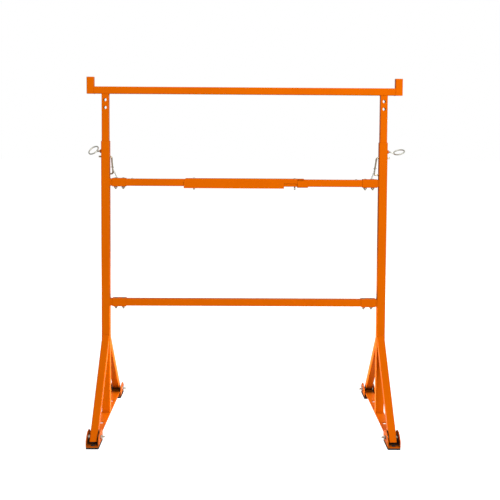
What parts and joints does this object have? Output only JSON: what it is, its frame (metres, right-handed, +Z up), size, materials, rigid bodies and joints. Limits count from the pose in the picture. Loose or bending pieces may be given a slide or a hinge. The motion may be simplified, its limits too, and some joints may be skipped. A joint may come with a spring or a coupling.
{
  "type": "builders trestle",
  "caption": "Steel builders trestle with splayed tube legs on pivoting feet, cross rails and a level head that lifts on pinned telescopic posts to carry boards.",
  "frame": {"origin": "on the floor, under the middle of the trestle", "axes": "+X to the right along the head, the front faces -Y, +Z up"},
  "size_m": [1.3334, 0.803, 1.446],
  "materials": {
    "orange_paint": "satin orange powder coat",
    "zinc_steel": "bright zinc plate",
    "rubber": "matt black rubber"
  },
  "bodies": {
    "frame": {"outer_post_left": "orange_paint", "outer_post_right": "orange_paint", "base_bar_left": "orange_paint", "base_bar_right": "orange_paint", "front_leg_left": "orange_paint", "front_leg_right": "orange_paint", "rear_leg_left": "orange_paint", "rear_leg_right": "orange_paint", "rail_stubs_left": "orange_paint", "rail_stubs_right": "orange_paint", "sleeve_mid_left": "orange_paint", "sleeve_mid_right": "orange_paint", "sleeve_low_left": "orange_paint", "sleeve_low_right": "orange_paint", "low_rail": "orange_paint", "mid_rail_left": "orange_paint", "mid_rail_right": "orange_paint", "splice_channel": "orange_paint", "rail_collar": "orange_paint", "rail_bolts": "zinc_steel", "rail_nuts": "zinc_steel", "rail_rivets": "zinc_steel", "clamp_nut_left": "orange_paint", "clamp_nut_right": "orange_paint", "foot_bolts": "zinc_steel", "foot_nuts": "zinc_steel", "foot_spacers": "zinc_steel", "chain_left": "zinc_steel", "chain_right": "zinc_steel"},
    "head": {"head_beam": "orange_paint", "head_stop_left": "orange_paint", "head_stop_right": "orange_paint", "inner_post_left": "orange_paint", "inner_post_right": "orange_paint"},
    "pin_left": {"lock_pin_left": "zinc_steel", "pin_loop_left": "zinc_steel"},
    "pin_right": {"lock_pin_right": "zinc_steel", "pin_loop_right": "zinc_steel"},
    "screw_left": {"clamp_screw_left": "zinc_steel", "clamp_ring_left": "zinc_steel"},
    "screw_right": {"clamp_screw_right": "zinc_steel", "clamp_ring_right": "zinc_steel"},
    "splice_pin_left": {"splice_pin_left": "zinc_steel"},
    "splice_pin_right": {"splice_pin_right": "zinc_steel"},
    "foot_front_left": {"foot_plate_front_left": "orange_paint", "foot_pad_front_left": "rubber"},
    "foot_front_right": {"foot_plate_front_right": "orange_paint", "foot_pad_front_right": "rubber"},
    "foot_rear_left": {"foot_plate_rear_left": "orange_paint", "foot_pad_rear_left": "rubber"},
    "foot_rear_right": {"foot_plate_rear_right": "orange_paint", "foot_pad_rear_right": "rubber"}
  },
  "joints": [
    {"name": "head_lift", "type": "slide", "parent": "frame", "child": "head", "axis": [0, 0, 1], "range_m": [-0.1, 0.5]},
    {"name": "lock_pin_pull_left", "type": "slide", "parent": "frame", "child": "pin_left", "axis": [1, 0, 0], "range_m": [0, 0.05]},
    {"name": "lock_pin_pull_right", "type": "slide", "parent": "frame", "child": "pin_right", "axis": [-1, 0, 0], "range_m": [0, 0.05]},
    {"name": "clamp_screw_turn_left", "type": "hinge", "parent": "frame", "child": "screw_left", "pos_m": [-0.608, 0, 1.1365], "axis": [1, 0, 0], "range_deg": [0, 540]},
    {"name": "clamp_screw_turn_right", "type": "hinge", "parent": "frame", "child": "screw_right", "pos_m": [0.608, 0, 1.14], "axis": [1, 0, 0], "range_deg": [0, 540]},
    {"name": "splice_pin_lift_left", "type": "slide", "parent": "frame", "child": "splice_pin_left", "axis": [0, 0, 1], "range_m": [0, 0.055]},
    {"name": "splice_pin_lift_right", "type": "slide", "parent": "frame", "child": "splice_pin_right", "axis": [0, 0, 1], "range_m": [0, 0.055]},
    {"name": "foot_tilt_front_left", "type": "hinge", "parent": "frame", "child": "foot_front_left", "pos_m": [-0.582, -0.345, 0.032], "axis": [1, 0, 0], "range_deg": [-8, 8]},
    {"name": "foot_tilt_front_right", "type": "hinge", "parent": "frame", "child": "foot_front_right", "pos_m": [0.582, -0.345, 0.032], "axis": [1, 0, 0], "range_deg": [-8, 8]},
    {"name": "foot_tilt_rear_left", "type": "hinge", "parent": "frame", "child": "foot_rear_left", "pos_m": [-0.582, 0.345, 0.032], "axis": [1, 0, 0], "range_deg": [-8, 8]},
    {"name": "foot_tilt_rear_right", "type": "hinge", "parent": "frame", "child": "foot_rear_right", "pos_m": [0.582, 0.345, 0.032], "axis": [1, 0, 0], "range_deg": [-8, 8]}
  ]
}
